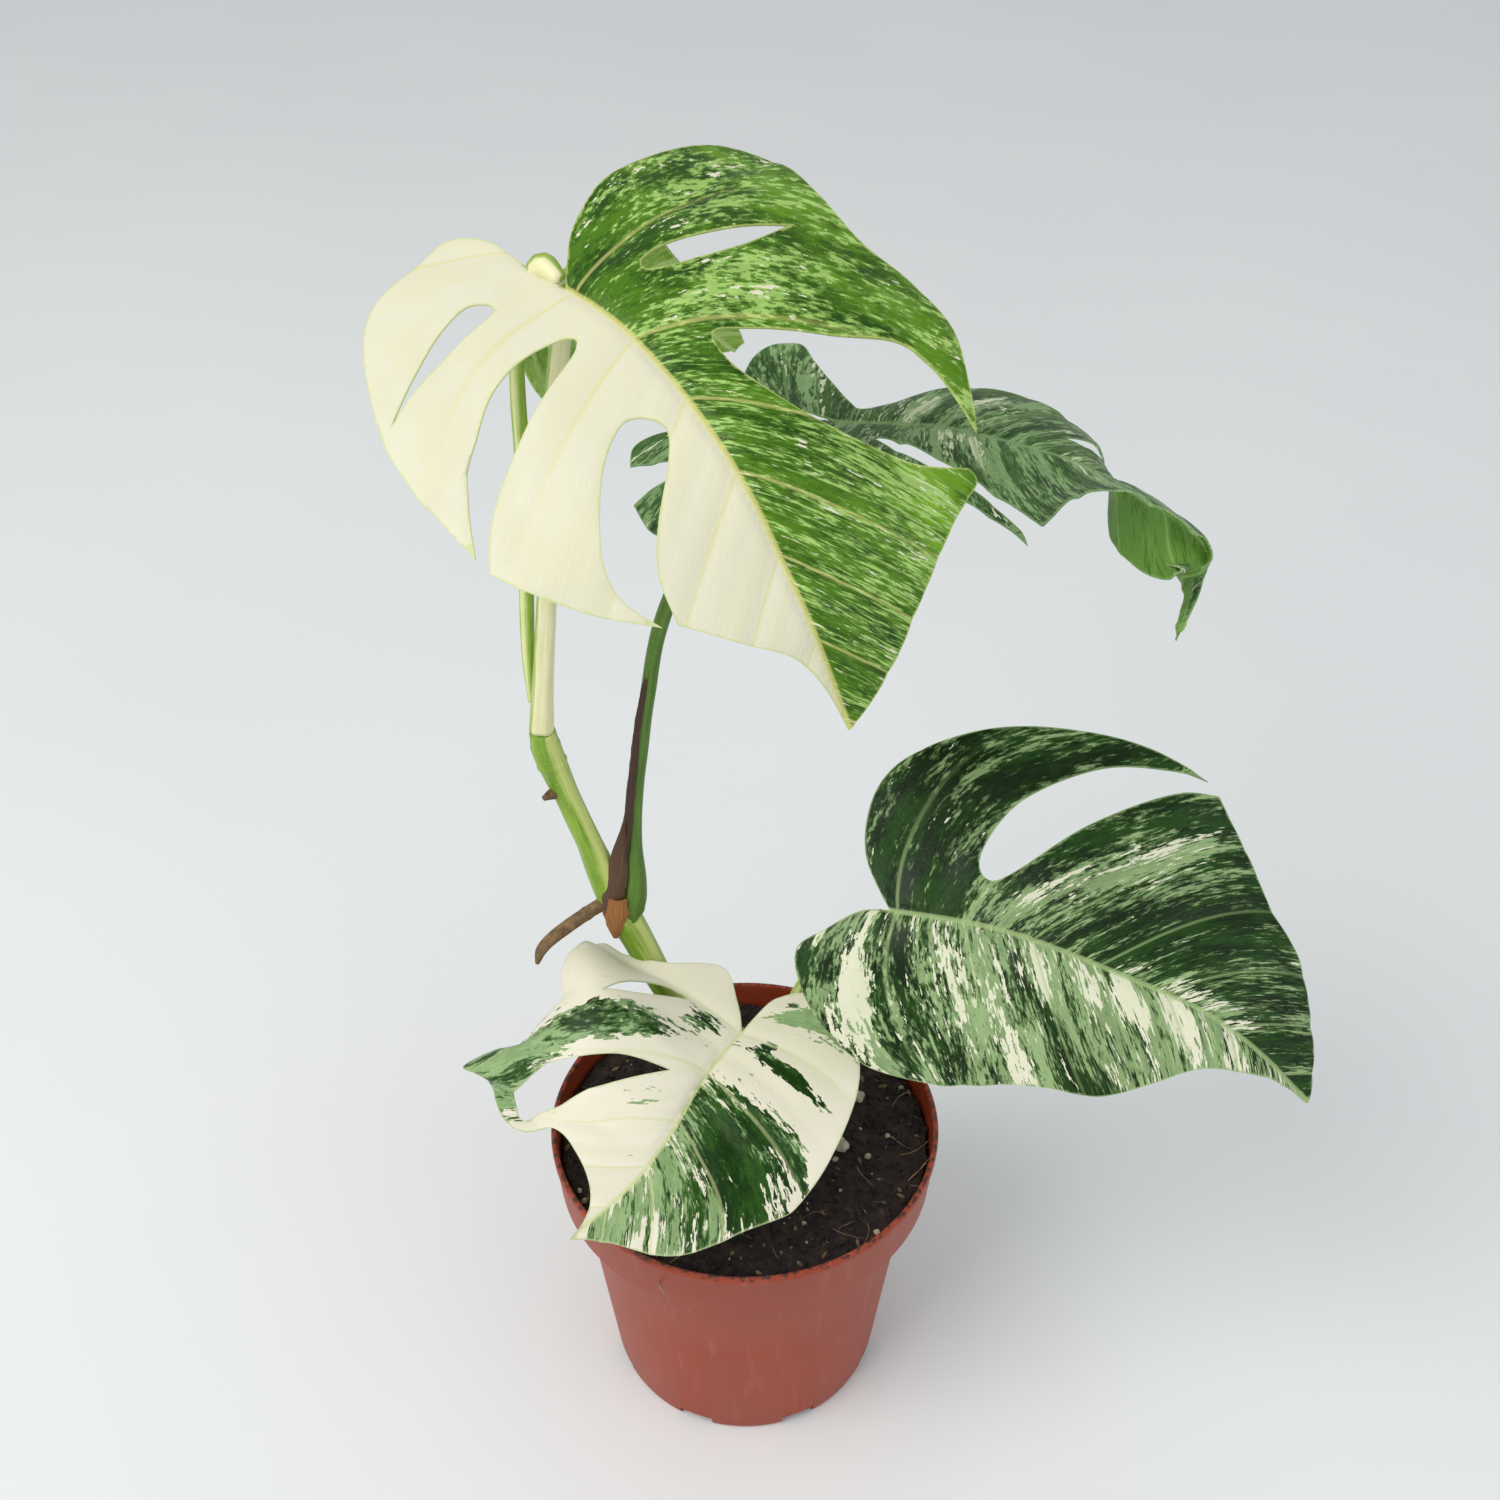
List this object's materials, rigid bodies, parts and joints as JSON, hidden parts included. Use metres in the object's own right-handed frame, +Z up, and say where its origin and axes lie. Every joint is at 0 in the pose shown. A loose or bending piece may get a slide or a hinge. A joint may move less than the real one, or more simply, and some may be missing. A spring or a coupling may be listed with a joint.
{
  "type": "potted monstera plant",
  "caption": "Young variegated monstera with split green and cream leaves on a leaning stem, rooted in potting mix in a round terracotta-coloured plastic nursery pot.",
  "frame": {"origin": "centre of the pot's flat underside, which is solid there and ringed by drain holes", "axes": "+Z up along the pot's axis; the plant leans towards -X, and its leaves show their upper faces towards -Y"},
  "size_m": [0.3042, 0.209, 0.4805],
  "materials": {
    "terracotta_plastic": "thin moulded plastic, terracotta colour",
    "potting_mix": "damp peat and bark mix",
    "bark": "dry bark and perlite",
    "stem_green": "smooth living stem, yellow green",
    "petiole_green": "smooth living petiole, dark green",
    "petiole_cream": "smooth living petiole, cream with a green edge",
    "dry_sheath": "dry papery sheath",
    "husk": "dry husk",
    "aerial_root": "dull corky root",
    "half_cream_blade": "waxy leaf, half cream and half green",
    "grey_green_blade": "waxy leaf, grey green with cream splashes",
    "dark_green_blade": "waxy leaf, dark green with cream streaks",
    "cream_blade": "waxy leaf, cream with green streaks",
    "light_green_blade": "leaf seen from its underside, light green"
  },
  "bodies": {
    "root": {"pot": "terracotta_plastic", "soil": "potting_mix", "main_stem": "stem_green", "petiole_top": "petiole_cream", "petiole_hidden": "stem_green", "petiole_right": "petiole_green", "petiole_low_right": "stem_green", "petiole_low_front": "stem_green", "aerial_root": "aerial_root", "root_nub": "husk", "dry_sheath": "dry_sheath", "stem_husk": "husk", "leaf_top": "half_cream_blade", "leaf_right": "grey_green_blade", "leaf_low_right": "dark_green_blade", "leaf_low_front": "cream_blade", "leaf_hidden": "light_green_blade", "chip_front": "bark", "chip_right": "bark", "chip_back": "bark"}
  },
  "joints": []
}
